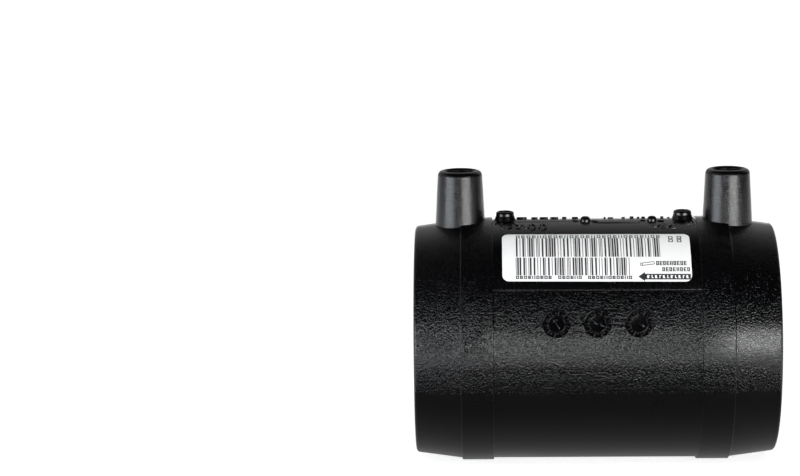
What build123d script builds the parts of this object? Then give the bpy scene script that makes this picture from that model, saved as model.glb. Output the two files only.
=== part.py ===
from build123d import *

import os
from math import cos, radians, sin, tan

# Electrofusion coupler that joins two plastic pipes end to end. The pipes slide into the
# bore from both ends, and a resistance wire laid in the bore melts them in.
# Sizes are in millimetres and angles in degrees. +X runs along the bore, +Z up through
# the terminals, and -Y towards the label. The origin is the bore's centre at mid-length.


# Socket and outside of the moulding

bore_radius = 31.75
body_length = 120.2
mouth_chamfer = 1.2
mouth_chamfer_length = 2.6
barrel_wall = 8.6
end_wall = 6.5
rim_chamfer = 0.9
taper_length = 15.5
collar_width = 10.6
collar_height = 0.65

# Pipe stops at mid-length

stop_count = 4
stop_first_angle = 45.0
stop_width = 2.4
stop_span = 6.0
stop_height = 2.6
stop_root = 1.0

# Heating wire: a winding at each end and one long-pitched crossing between them

wire_width = 0.9
wire_thickness = 0.8
wire_cover = 0.25
wire_back_gap = 0.05
wire_steps_per_turn = 28
zone_side_gap = 0.35
crossing_side_gap = 0.2
zone_pitch = 4.2
zone_turns = 6.25

# Terminal shrouds

terminal_inset = 15.3
shroud_height = 17.15
shroud_top_radius = 7.4
shroud_draft = 3.0
shroud_rim_chamfer = 1.2
shroud_bore_radius = 4.9
shroud_mouth_chamfer = 0.55
shroud_depth = 13.0
shroud_root = 3.0

# Terminal pins, each on a wide foot that is set in the wall and meets the wire

pin_radius = 2.0
pin_setback = 3.2
pin_tip_chamfer = 0.5
pin_foot_radius = 2.8
pin_foot_step = 0.3
moulding_gap = 0.05

# Fusion indicators, one beside each terminal

indicator_inset = 30.35
indicator_height = 2.8
indicator_top_radius = 3.1
indicator_draft = 6.0
indicator_rim_chamfer = 0.45
indicator_well_radius = 2.0
indicator_well_floor = 2.6
indicator_gap = 0.1
indicator_setback = 1.2

# Smooth label panel and its label

panel_height = 0.3
panel_root = 1.0
panel_front_angle = 56.2
panel_back_angle = 1.5
label_margin = 3.1
label_top_angle = 21.1
label_bottom_angle = 51.6
label_thickness = 0.15
label_gap = 0.02
label_corner = 2.2

# Date and batch dials on the front

dial_count = 3
dial_spacing = 13.4
dial_angle = 71.9
dial_radius = 4.6
dial_depth = 0.4

# Length by which a cut runs on into open space

overcut = 0.2


# Sizes that follow from those above

half_length = body_length / 2
barrel_radius = bore_radius + barrel_wall
collar_radius = barrel_radius + collar_height
panel_radius = barrel_radius + panel_height
end_radius = bore_radius + end_wall
collar_end = half_length - taper_length
collar_start = collar_end - collar_width
label_width = 2 * (collar_start - label_margin)
label_radius = panel_radius + label_gap

terminal_x = half_length - terminal_inset
terminal_top = barrel_radius + shroud_height
shroud_floor = terminal_top - shroud_depth
pin_tip = terminal_top - pin_setback
pin_foot_top = shroud_floor + pin_foot_step

indicator_x = half_length - indicator_inset
indicator_boss_top = panel_radius + indicator_height
indicator_bottom = bore_radius + indicator_well_floor
indicator_top = indicator_boss_top - indicator_setback

wire_inside = bore_radius + wire_cover
wire_radius = wire_inside + wire_thickness / 2
groove_radius = wire_inside + wire_thickness + wire_back_gap
zone_inner = terminal_x - zone_pitch * zone_turns
groove_outer_end = terminal_x + pin_foot_radius + zone_side_gap
groove_inner_end = zone_inner - wire_width / 2 - zone_side_gap
crossing_turns = 1 - (2 * zone_turns) % 1
crossing_pitch = 2 * zone_inner / crossing_turns
wire_turns = round(2 * zone_turns + crossing_turns)


def radial_plane(angle, x=0.0):
    """Plane through the bore's axis, at an angle from the top towards the label."""
    tilt = radians(angle)
    return Plane(origin=(x, 0, 0), x_dir=(1, 0, 0), z_dir=(0, -cos(tilt), -sin(tilt)))


def facing_plane(angle, height):
    """Plane that faces away from the bore's axis, at a height above that axis."""
    outward = Vector(0, -sin(radians(angle)), cos(radians(angle)))
    return Plane(origin=outward * height, x_dir=(1, 0, 0), z_dir=outward)


def wire_place(turn):
    """Place of the wire along the bore after some turns from the left terminal."""
    if turn <= zone_turns:
        return -terminal_x + zone_pitch * turn
    if turn < zone_turns + crossing_turns:
        return -zone_inner + crossing_pitch * (turn - zone_turns)
    return terminal_x - zone_pitch * (wire_turns - turn)


def boss_outline(top, bottom, top_radius, draft, rim_chamfer):
    """Half outline of a tapered round boss with a bevelled rim."""
    spread = tan(radians(draft))
    return [
        (0, bottom),
        (top_radius + (top - bottom) * spread, bottom),
        (top_radius + rim_chamfer * spread, top - rim_chamfer),
        (top_radius - rim_chamfer, top),
        (0, top),
    ]


def socket_outline():
    """Half outline of the hollow that takes a cable plug, flared at its mouth."""
    return [
        (0, shroud_floor),
        (shroud_bore_radius, shroud_floor),
        (shroud_bore_radius, terminal_top - shroud_mouth_chamfer),
        (shroud_bore_radius + shroud_mouth_chamfer, terminal_top),
        (shroud_bore_radius + shroud_mouth_chamfer, terminal_top + overcut),
        (0, terminal_top + overcut),
    ]


def pin_outline():
    """Half outline of a terminal pin and its foot."""
    return [
        (0, groove_radius),
        (pin_foot_radius, groove_radius),
        (pin_foot_radius, pin_foot_top),
        (pin_radius, pin_foot_top),
        (pin_radius, pin_tip - pin_tip_chamfer),
        (pin_radius - pin_tip_chamfer, pin_tip),
        (0, pin_tip),
    ]


def turn_upright(x, outline, mode=Mode.ADD):
    """Turn a half outline about the upright line at x, to add it or cut it away."""
    with BuildSketch(radial_plane(0, x)) as half:
        with BuildLine():
            Polyline(*outline, close=True)
        make_face()
    revolve(half.sketch, axis=Axis((x, 0, 0), (0, 0, 1)), mode=mode)


# Moulded body: one revolved section, with everything else added to it or cut from it

with BuildPart() as coupler_body:
    with BuildSketch(Plane.XZ):
        with BuildLine():
            Polyline(
                (0, bore_radius),
                (0, barrel_radius),
                (collar_start, barrel_radius),
                (collar_start, collar_radius),
                (collar_end, collar_radius),
                (collar_end, barrel_radius),
                (half_length, end_radius),
                (half_length, bore_radius + mouth_chamfer),
                (half_length - mouth_chamfer_length, bore_radius),
                (groove_outer_end, bore_radius),
                (groove_outer_end, groove_radius),
                (groove_inner_end, groove_radius),
                (groove_inner_end, bore_radius),
                close=True,
            )
        make_face()
        mirror(about=Plane.YZ)
    revolve(axis=Axis.X)
    end_faces = coupler_body.faces().filter_by(Axis.X).sort_by(Axis.X)
    chamfer(end_faces[0].outer_wire().edges() + end_faces[-1].outer_wire().edges(), rim_chamfer)

    # Label panel, over the crown and down the front between the collars
    with BuildSketch(radial_plane(panel_back_angle)):
        with Locations((0, (barrel_radius - panel_root + panel_radius) / 2)):
            Rectangle(2 * collar_start, panel_root + panel_height)
    revolve(axis=Axis.X, revolution_arc=panel_front_angle - panel_back_angle)

    # Indicator bosses and their blind wells
    for x in (-indicator_x, indicator_x):
        turn_upright(
            x,
            boss_outline(
                indicator_boss_top,
                barrel_radius - panel_root,
                indicator_top_radius,
                indicator_draft,
                indicator_rim_chamfer,
            ),
        )
        with BuildSketch(Plane.XY.offset(indicator_bottom)):
            with Locations((x, 0)):
                Circle(indicator_well_radius)
        extrude(amount=indicator_boss_top - indicator_bottom, mode=Mode.SUBTRACT)

    # Terminal shrouds, the hollows for the cable plugs and the cavities for the pins
    for x in (-terminal_x, terminal_x):
        turn_upright(
            x,
            boss_outline(
                terminal_top,
                barrel_radius - shroud_root,
                shroud_top_radius,
                shroud_draft,
                shroud_rim_chamfer,
            ),
        )
        turn_upright(x, socket_outline(), Mode.SUBTRACT)
        with BuildSketch(Plane.XY.offset(groove_radius - overcut)):
            with Locations((x, 0)):
                Circle(pin_foot_radius + moulding_gap)
        extrude(amount=shroud_floor - groove_radius + 2 * overcut, mode=Mode.SUBTRACT)

    # Groove that takes the wire from one winding to the other
    with BuildLine(mode=Mode.PRIVATE) as crossing:
        Helix(
            crossing_pitch,
            2 * zone_inner,
            wire_radius,
            center=(-zone_inner, 0, 0),
            direction=(1, 0, 0),
        )
    with BuildSketch(radial_plane(360 * zone_turns, -zone_inner)):
        with Locations((0, (bore_radius - overcut + groove_radius) / 2)):
            Rectangle(wire_width + 2 * crossing_side_gap, groove_radius - bore_radius + overcut)
    sweep(
        path=crossing.line.rotate(Axis.X, 360 * zone_turns), is_frenet=True, mode=Mode.SUBTRACT
    )

    # Pipe stops
    with BuildSketch(Plane.YZ.offset(-stop_width / 2)):
        with PolarLocations(
            bore_radius + (stop_root - stop_height) / 2, stop_count, start_angle=stop_first_angle
        ):
            Rectangle(stop_root + stop_height, stop_span)
    extrude(amount=stop_width)

    # Flat dials let into the round front
    with BuildSketch(facing_plane(dial_angle, barrel_radius - dial_depth)):
        with GridLocations(dial_spacing, dial_spacing, dial_count, 1):
            Circle(dial_radius)
    extrude(amount=dial_depth + overcut, mode=Mode.SUBTRACT)


# Heating wire: both windings and the crossing are one length of wire, in short steps

with BuildPart() as heating_wire:
    steps = wire_turns * wire_steps_per_turn
    turns = {step / wire_steps_per_turn for step in range(steps + 1)}
    bends = {zone_turns, zone_turns + crossing_turns}
    for turn in sorted(turns | bends):
        with BuildSketch(radial_plane(360 * turn, wire_place(turn))):
            with Locations((0, wire_radius)):
                Rectangle(wire_width, wire_thickness)
    loft(ruled=True)


# Terminal pins

pins = {}
for side, x in (("left", -terminal_x), ("right", terminal_x)):
    with BuildPart() as terminal_pin:
        turn_upright(x, pin_outline())
    pins[f"terminal_pin_{side}"] = terminal_pin


# Fusion indicators, sunk in their wells until the joint is melted

indicators = {}
for side, x in (("left", -indicator_x), ("right", indicator_x)):
    with BuildPart() as fusion_indicator:
        with BuildSketch(Plane.XY.offset(indicator_bottom)):
            with Locations((x, 0)):
                Circle(indicator_well_radius - indicator_gap)
        extrude(amount=indicator_top - indicator_bottom)
    indicators[f"fusion_indicator_{side}"] = fusion_indicator


# Label, a thin sheet curved over the panel

with BuildPart() as barcode_label:
    with BuildSketch(radial_plane(label_top_angle)):
        with Locations((0, label_radius + label_thickness / 2)):
            Rectangle(label_width, label_thickness)
    revolve(axis=Axis.X, revolution_arc=label_bottom_angle - label_top_angle)
    corners = barcode_label.edges().filter_by(lambda edge: edge.length < 2 * label_thickness)
    fillet(corners, label_corner)


os.makedirs("parts", exist_ok=True)
pieces = {
    "coupler_body": coupler_body,
    "heating_wire": heating_wire,
    **pins,
    **indicators,
    "barcode_label": barcode_label,
}
for name, piece in pieces.items():
    piece.part.label = name
    export_step(piece.part, f"parts/{name}.step")
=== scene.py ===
"""Looks of a straight electrofusion coupler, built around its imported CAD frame.

Lengths in this file are in millimetres and are turned into metres when a mesh is made. +X
runs along the bore, +Z up through the terminals and -Y towards the label. Angles round the
barrel are in degrees, from the top towards the label.
"""

import logging
from collections.abc import Sequence
from dataclasses import dataclass
from enum import Enum
from math import atan2, ceil, cos, degrees, pi, radians, sin, tan

import bmesh
import bpy
from mathutils import Matrix, Vector

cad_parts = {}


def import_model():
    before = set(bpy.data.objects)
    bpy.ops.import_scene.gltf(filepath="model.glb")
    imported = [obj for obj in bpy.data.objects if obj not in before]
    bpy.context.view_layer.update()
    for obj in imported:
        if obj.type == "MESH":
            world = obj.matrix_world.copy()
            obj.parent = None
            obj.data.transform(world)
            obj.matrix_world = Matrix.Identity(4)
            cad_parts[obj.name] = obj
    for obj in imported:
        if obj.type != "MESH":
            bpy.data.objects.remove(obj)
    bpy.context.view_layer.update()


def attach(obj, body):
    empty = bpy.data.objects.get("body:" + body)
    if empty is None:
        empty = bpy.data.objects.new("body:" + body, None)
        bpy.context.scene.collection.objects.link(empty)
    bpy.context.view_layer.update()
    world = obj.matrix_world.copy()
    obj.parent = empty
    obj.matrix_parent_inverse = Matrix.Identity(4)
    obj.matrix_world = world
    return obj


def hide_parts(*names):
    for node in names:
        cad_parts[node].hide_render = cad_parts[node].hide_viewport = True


LOG = logging.getLogger("coupler")
MM = 0.001
BODY = "root"

Point = tuple[float, float]
Colour = tuple[float, float, float]
Vector3 = tuple[float, float, float]
Node = bpy.types.ShaderNode
Piece = bpy.types.Object


class Slot(Enum):
    """The record's material slots."""

    POLYETHYLENE = "black_polyethylene"
    WIRE = "resistance_wire"
    PIN = "pin_brass"
    INDICATOR = "indicator_plastic"
    LABEL = "label_film"


class Side(Enum):
    """The two ends of the coupler, by the sign of their place along the bore."""

    LEFT = -1
    RIGHT = 1

    @property
    def word(self) -> str:
        """The end's name in piece and node names."""
        return self.name.lower()


class Glyph(Enum):
    """Plain marks that stand for small print, without any lettering."""

    FRAME = "frame"
    PAIR = "pair"
    COMB = "comb"


# Outlines and meshes


@dataclass(frozen=True)
class Corner:
    """A corner of an outline, with the radius that rounds it."""

    along: float
    out: float
    radius: float = 0.0


def round_corners(corners: Sequence[Corner], closed: bool = False, steps: int = 5) -> list[Point]:
    """Turn an outline's corners into points, with an arc at each rounded corner.

    Args:
        corners: the corners in order.
        closed: whether the last corner joins the first.
        steps: straight steps in each arc.

    Returns:
        The points of the rounded outline.
    """
    points: list[Point] = []
    last = len(corners) - 1
    for index, corner in enumerate(corners):
        here = Vector((corner.along, corner.out))
        if corner.radius == 0 or (not closed and index in (0, last)):
            points.append((here.x, here.y))
            continue
        before = corners[index - 1]
        after = corners[(index + 1) % len(corners)]
        to_before = Vector((before.along, before.out)) - here
        to_after = Vector((after.along, after.out)) - here
        room_before = to_before.length * corner.radius / (corner.radius + before.radius)
        room_after = to_after.length * corner.radius / (corner.radius + after.radius)
        to_before.normalize()
        to_after.normalize()
        half = to_before.angle(to_after) / 2
        reach = min(corner.radius / tan(half), 0.98 * room_before, 0.98 * room_after)
        radius = reach * tan(half)
        centre = here + (to_before + to_after).normalized() * (radius / sin(half))
        start = here + to_before * reach - centre
        end = here + to_after * reach - centre
        first = atan2(start.y, start.x)
        turn = (atan2(end.y, end.x) - first + pi) % (2 * pi) - pi
        for step in range(steps + 1):
            angle = first + turn * step / steps
            points.append((centre.x + radius * cos(angle), centre.y + radius * sin(angle)))
    return points


def around_bore(x: float, angle: float, radius: float) -> Vector:
    """Point at a place along the bore, an angle from the top and a distance from the axis."""
    turn = radians(angle)
    return Vector((x, -radius * sin(turn), radius * cos(turn)))


@dataclass(frozen=True)
class Wrap:
    """A flat patch wrapped on the barrel: u runs along the bore, v down towards the label."""

    radius: float
    x: float = 0.0
    angle: float = 0.0
    lean: float = 0.0

    def place(self, u: float, v: float, height: float) -> Vector:
        """Point on the barrel for flat coordinates and a height above the patch."""
        down = v + self.lean * u
        return around_bore(self.x + u, self.angle + degrees(down / self.radius), self.radius + height)


class Shape:
    """Points and faces of one piece, collected before its mesh is made."""

    def __init__(self) -> None:
        """Start with nothing in the piece."""
        self.points: list[Vector] = []
        self.faces: list[tuple[int, ...]] = []
        self.finishes: list[int] = []

    def grid(
        self,
        rows: Sequence[Sequence[Vector]],
        ring_rows: bool = False,
        ring_columns: bool = False,
        finish: int = 0,
    ) -> None:
        """Join rows of points with four-sided faces.

        Args:
            rows: rows with the same number of points each.
            ring_rows: whether the last row joins the first.
            ring_columns: whether each row's last point joins its first.
            finish: index of the finish on these faces.
        """
        start = len(self.points)
        width = len(rows[0])
        for row in rows:
            self.points.extend(row)
        for r in range(len(rows) if ring_rows else len(rows) - 1):
            here = start + r * width
            there = start + (r + 1) % len(rows) * width
            for c in range(width if ring_columns else width - 1):
                d = (c + 1) % width
                self.faces.append((here + c, here + d, there + d, there + c))
                self.finishes.append(finish)

    def cap(self, ring: Sequence[Vector], finish: int = 0) -> None:
        """Close a ring of points with a fan about its middle."""
        start = len(self.points)
        middle = sum(ring, Vector()) / len(ring)
        self.points.extend(ring)
        self.points.append(middle)
        for c in range(len(ring)):
            self.faces.append((start + c, start + (c + 1) % len(ring), start + len(ring)))
            self.finishes.append(finish)

    def make(
        self,
        name: str,
        materials: Sequence[bpy.types.Material],
        replaces: Sequence[str] = (),
        sharp: float = 32.0,
    ) -> Piece:
        """Make the piece's mesh, dress it and let it ride with the coupler.

        Args:
            name: the piece's name.
            materials: its materials, in the order of the faces' finishes.
            replaces: CAD nodes that it stands for.
            sharp: angle in degrees above which an edge stays sharp.

        Returns:
            The new object.
        """
        mesh = bpy.data.meshes.new(name)
        mesh.from_pydata([tuple(p * MM) for p in self.points], [], self.faces)
        mesh.polygons.foreach_set("material_index", self.finishes)
        work = bmesh.new()
        work.from_mesh(mesh)
        bmesh.ops.remove_doubles(work, verts=work.verts, dist=0.0004 * MM)
        bmesh.ops.recalc_face_normals(work, faces=work.faces)
        work.to_mesh(mesh)
        work.free()
        mesh.polygons.foreach_set("use_smooth", [True] * len(mesh.polygons))
        mesh.set_sharp_from_angle(angle=radians(sharp))
        for material in materials:
            mesh.materials.append(material)
        piece = bpy.data.objects.new(name, mesh)
        bpy.context.scene.collection.objects.link(piece)
        return settle(piece, replaces)


def settle(piece: Piece, replaces: Sequence[str] = ()) -> Piece:
    """Let a piece ride with the coupler, and report it.

    Args:
        piece: the object.
        replaces: CAD nodes that it stands for.

    Returns:
        The same object.
    """
    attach(piece, BODY)
    if replaces:
        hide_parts(*replaces)
    LOG.info("piece %s: %d faces", piece.name, len(piece.data.polygons))
    return piece


def cut_away(piece: Piece, shape: Shape) -> None:
    """Cut a closed shape out of a piece."""
    mesh = bpy.data.meshes.new("cutter")
    mesh.from_pydata([tuple(p * MM) for p in shape.points], [], shape.faces)
    work = bmesh.new()
    work.from_mesh(mesh)
    bmesh.ops.remove_doubles(work, verts=work.verts, dist=0.001 * MM)
    bmesh.ops.recalc_face_normals(work, faces=work.faces)
    work.to_mesh(mesh)
    work.free()
    cutter = bpy.data.objects.new("cutter", mesh)
    bpy.context.scene.collection.objects.link(cutter)
    change = piece.modifiers.new("cut", "BOOLEAN")
    change.operation = "DIFFERENCE"
    change.solver = "EXACT"
    change.object = cutter
    graph = bpy.context.evaluated_depsgraph_get()
    cut = bpy.data.meshes.new_from_object(piece.evaluated_get(graph))
    piece.modifiers.clear()
    old = piece.data
    piece.data = cut
    bpy.data.meshes.remove(old)
    bpy.data.objects.remove(cutter)
    cut.name = piece.name
    cut.polygons.foreach_set("use_smooth", [True] * len(cut.polygons))
    cut.set_sharp_from_angle(angle=radians(32))


def turned_about_bore(outline: Sequence[Point], steps: int) -> list[list[Vector]]:
    """Rows of points for an outline of place and radius turned about the bore's axis."""
    return [[around_bore(x, 360 * s / steps, r) for s in range(steps)] for x, r in outline]


def turned_upright(x: float, outline: Sequence[Point], steps: int) -> list[list[Vector]]:
    """Rows of points for an outline of height and radius turned about an upright line at x."""
    rows = []
    for z, r in outline:
        turns = [2 * pi * s / steps for s in range(steps)]
        rows.append([Vector((x + r * cos(t), r * sin(t), z)) for t in turns])
    return rows


def turned_on_barrel(wrap: Wrap, outline: Sequence[Point], steps: int) -> list[list[Vector]]:
    """Rows of points for an outline of radius and height turned about a patch's middle."""
    rows = []
    for r, height in outline:
        turns = [2 * pi * s / steps for s in range(steps)]
        rows.append([wrap.place(r * cos(t), r * sin(t), height) for t in turns])
    return rows


@dataclass(frozen=True)
class Plate:
    """A four-sided plate that follows the barrel, with round corners and a soft edge."""

    width: float
    height: float
    top: float
    corner: float = 0.0
    edge: float = 0.0
    bottom: float = -0.4
    lip: float = 0.0

    def half_width(self, v: float, inset: float) -> float:
        """Half the plate's width at a place v, with its outline drawn in by an inset."""
        corner = max(self.corner - inset, 0.0)
        over = abs(v) - (self.height / 2 - inset - corner)
        if over <= 0 or corner == 0:
            return self.width / 2 - inset
        return self.width / 2 - inset - corner + max(corner**2 - over**2, 0.0) ** 0.5

    def levels(self, wrap: Wrap, inset: float) -> list[float]:
        """Places v at which the plate's outline has points."""
        half = self.height / 2 - inset
        corner = max(self.corner - inset, 0.0)
        flat = half - corner
        count = max(1, ceil(2 * flat / (wrap.radius * radians(1.6))))
        arc = [flat + corner * sin(pi / 2 * s / 6) for s in range(1, 7)] if self.corner else []
        middle = [-flat + 2 * flat * s / count for s in range(count + 1)]
        return [-v for v in reversed(arc)] + middle + arc

    def add_to(self, shape: Shape, wrap: Wrap, finish: int = 0) -> None:
        """Add the plate to a piece.

        Args:
            shape: the piece that takes it.
            wrap: where it lies on the barrel.
            finish: index of the finish on its faces.
        """
        rings = [(0.0, self.bottom), (0.0, self.top - self.edge)]
        if self.lip:
            drop = tan(radians(self.lip))
            rings = [(0.0, self.bottom)]
            rings += [(share * self.edge, self.top + (share - 1) * self.edge * drop) for share in (0.0, 0.1, 0.9)]
            rings += [(1.1 * self.edge, self.top - 0.02 * self.edge), (1.4 * self.edge, self.top)]
        elif self.edge:
            rings += [
                (self.edge * (1 - cos(a)), self.top - self.edge * (1 - sin(a)))
                for a in (pi / 6, pi / 3, pi / 2)
            ]
        rows = []
        for inset, height in rings:
            levels = self.levels(wrap, inset)
            left = [(-self.half_width(v, inset), v) for v in levels]
            right = [(self.half_width(v, inset), v) for v in reversed(levels)]
            rows.append([wrap.place(u, v, height) for u, v in left + right])
        shape.grid(rows, ring_columns=True, finish=finish)
        top = rows[-1]
        count = len(top) // 2
        strips = [[top[i], top[2 * count - 1 - i]] for i in range(count)]
        shape.grid(strips, finish=finish)


@dataclass(frozen=True)
class Ridge:
    """A low rounded ridge on the barrel, from one place to another."""

    x: float
    angle: float
    end_x: float
    end_angle: float
    width: float
    height: float

    def add_to(self, shape: Shape, radius: float) -> None:
        """Add the ridge to a piece that lies on the barrel at a radius."""
        wrap = Wrap(radius)
        start = Vector((self.x, radians(self.angle) * radius))
        end = Vector((self.end_x, radians(self.end_angle) * radius))
        away = (end - start).normalized()
        across = Vector((-away.y, away.x))
        soft = 0.35 * self.width
        along = ((start - away * soft, 0.0), (start, 0.75), (start + away * soft, 1.0))
        along += ((end - away * soft, 1.0), (end, 0.75), (end + away * soft, 0.0))
        rows = []
        for spot, full in along:
            row = []
            for side, share in ((-1.3, 0), (-1, 0.5), (-0.5, 0.9), (0, 1), (0.5, 0.9), (1, 0.5), (1.3, 0)):
                point = spot + across * side * self.width / 2
                height = full * share * self.height if full and share else -0.25
                row.append(wrap.place(point.x, point.y, height))
            rows.append(row)
        shape.grid(rows)


@dataclass(frozen=True)
class Sheet:
    """A thin printed patch with straight edges that follows the barrel."""

    u: float
    v: float
    width: float
    height: float

    def add_to(self, shape: Shape, wrap: Wrap, lift: float, finish: int = 0) -> None:
        """Add the patch to a piece, at a lift above the patch it is printed on."""
        count = max(1, ceil(self.height / (wrap.radius * radians(1.6))))
        rows = []
        for step in range(count + 1):
            v = self.v - self.height / 2 + self.height * step / count
            sides = (self.u - self.width / 2, self.u + self.width / 2)
            rows.append([wrap.place(u, v, lift) for u in sides])
        shape.grid(rows, finish=finish)


# Shader groups that several finishes share

# The grain is drawn out round the barrel: finer along the bore, longer across it.
GRAIN_STRETCH = (1.3, 0.7, 0.7)


class Effect:
    """A shader node group with named inputs and outputs, built once."""

    def __init__(self, name: str, inputs: dict[str, float], outputs: Sequence[str]) -> None:
        """Start the group with its sockets and the coordinates that its textures use.

        Args:
            name: the group's name.
            inputs: each input's name and first value.
            outputs: the outputs' names.
        """
        self.tree = bpy.data.node_groups.new(name, "ShaderNodeTree")
        for label, value in inputs.items():
            socket = self.tree.interface.new_socket(
                label, in_out="INPUT", socket_type="NodeSocketFloat"
            )
            socket.default_value = value
        for label in outputs:
            self.tree.interface.new_socket(
                label, in_out="OUTPUT", socket_type="NodeSocketFloat"
            )
        self.start = self.tree.nodes.new("NodeGroupInput")
        self.end = self.tree.nodes.new("NodeGroupOutput")
        self.place = self.tree.nodes.new("ShaderNodeTexCoord").outputs["Object"]

    def node(self, kind: str, **values: object) -> Node:
        """Add a node and set its own options."""
        node = self.tree.nodes.new(kind)
        for key, value in values.items():
            setattr(node, key, value)
        return node

    def stretch(self, factors: Vector3) -> None:
        """Scale the coordinates of the textures that are added from here on.

        Args:
            factors: the scale along the bore, across it and upright.
        """
        node = self.node("ShaderNodeVectorMath", operation="MULTIPLY")
        self.tree.links.new(self.place, node.inputs[0])
        node.inputs[1].default_value = factors
        self.place = node.outputs["Vector"]

    def math(self, operation: str, *terms: object) -> bpy.types.NodeSocket:
        """Add a Math node fed by sockets and numbers, and return its output."""
        node = self.node("ShaderNodeMath", operation=operation)
        for index, term in enumerate(terms):
            if isinstance(term, (int, float)):
                node.inputs[index].default_value = term
            else:
                self.tree.links.new(term, node.inputs[index])
        return node.outputs[0]

    def noise(
        self, scale: object, detail: float, rough: float, twist: float = 0.0
    ) -> bpy.types.NodeSocket:
        """Add a Noise texture on the piece's own coordinates.

        Args:
            scale: a number or a socket.
            detail: octaves.
            rough: roughness between octaves.
            twist: distortion.

        Returns:
            The texture's value.
        """
        node = self.node("ShaderNodeTexNoise")
        self.tree.links.new(self.place, node.inputs["Vector"])
        if isinstance(scale, (int, float)):
            node.inputs["Scale"].default_value = scale
        else:
            self.tree.links.new(scale, node.inputs["Scale"])
        node.inputs["Detail"].default_value = detail
        node.inputs["Roughness"].default_value = rough
        node.inputs["Distortion"].default_value = twist
        return node.outputs[0]

    def spread(self, value: object, low: float, high: float) -> bpy.types.NodeSocket:
        """Map a value from between two limits to the range 0 to 1, held at its ends."""
        node = self.node("ShaderNodeMapRange", interpolation_type="SMOOTHSTEP")
        self.tree.links.new(value, node.inputs["Value"])
        node.inputs["From Min"].default_value = low
        node.inputs["From Max"].default_value = high
        return node.outputs["Result"]

    def put_out(self, label: str, value: bpy.types.NodeSocket) -> None:
        """Join a value to one of the group's outputs."""
        self.tree.links.new(value, self.end.inputs[label])


class Effects:
    """The shader groups of this object, each built once."""

    def __init__(self) -> None:
        """Build every group."""
        self.grain = self.spark_grain()
        self.handling = self.handling_marks()
        self.lay = self.tool_lay()

    @staticmethod
    def spark_grain() -> bpy.types.ShaderNodeTree:
        """Coarse grain that a spark-eroded mould leaves on the plastic."""
        inputs = {"Scale": 2400.0, "Coarse": 0.5, "Floor": -1.0}
        effect = Effect("spark_grain", inputs, ("Height", "Pits"))
        parts = effect.node("ShaderNodeSeparateXYZ")
        effect.tree.links.new(effect.place, parts.inputs[0])
        effect.stretch(GRAIN_STRETCH)
        scale = effect.start.outputs["Scale"]
        fine = effect.spread(effect.noise(scale, 0.0, 0.5), 0.37, 0.63)
        finer = effect.noise(effect.math("MULTIPLY", scale, 2.1), 0.0, 0.5)
        broad = effect.noise(effect.math("MULTIPLY", scale, 0.31), 2.0, 0.5, 0.6)
        coarse = effect.math("MULTIPLY", broad, effect.start.outputs["Coarse"])
        height = effect.math("MULTIPLY_ADD", finer, 0.35, effect.math("ADD", fine, coarse))
        above = effect.math("SUBTRACT", parts.outputs["Z"], effect.start.outputs["Floor"])
        grained = effect.spread(above, -0.15 * MM, 0.15 * MM)
        effect.put_out("Height", effect.math("MULTIPLY", height, grained))
        plain = effect.math("SUBTRACT", 1.0, grained)
        pits = effect.math("MULTIPLY", effect.math("MULTIPLY", fine, 0.3), grained)
        effect.put_out("Pits", effect.math("ADD", pits, plain))
        return effect.tree

    @staticmethod
    def handling_marks() -> bpy.types.ShaderNodeTree:
        """Faint cloudy rubs and dust of a part that has been handled and stored."""
        effect = Effect("handling_marks", {"Amount": 1.0}, ("Rub", "Dust"))
        cloud = effect.noise(45.0, 4.0, 0.55, 0.3)
        rub = effect.math("MULTIPLY", effect.math("SUBTRACT", cloud, 0.5), effect.start.outputs[0])
        specks = effect.spread(effect.noise(5200.0, 1.0, 0.5), 0.72, 0.8)
        patches = effect.spread(effect.noise(70.0, 3.0, 0.6), 0.45, 0.7)
        dust = effect.math("MULTIPLY", effect.math("MULTIPLY", specks, patches), effect.start.outputs[0])
        effect.put_out("Rub", rub)
        effect.put_out("Dust", dust)
        return effect.tree

    @staticmethod
    def tool_lay() -> bpy.types.ShaderNodeTree:
        """Fine rings or lines that turning and drawing leave, across one direction."""
        effect = Effect("tool_lay", {"Scale": 3000.0, "Waver": 0.3}, ("Height",))
        parts = effect.node("ShaderNodeSeparateXYZ")
        effect.tree.links.new(effect.place, parts.inputs[0])
        joined = effect.math("ADD", parts.outputs["X"], effect.math("MULTIPLY", parts.outputs["Z"], 0.6))
        waver = effect.math("MULTIPLY", effect.noise(900.0, 2.0, 0.5), effect.start.outputs["Waver"])
        run = effect.math("MULTIPLY", joined, effect.start.outputs["Scale"])
        wave = effect.math("SINE", effect.math("ADD", run, effect.math("MULTIPLY", waver, 20.0)))
        effect.put_out("Height", effect.math("MULTIPLY_ADD", wave, 0.5, 0.5))
        return effect.tree


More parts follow.
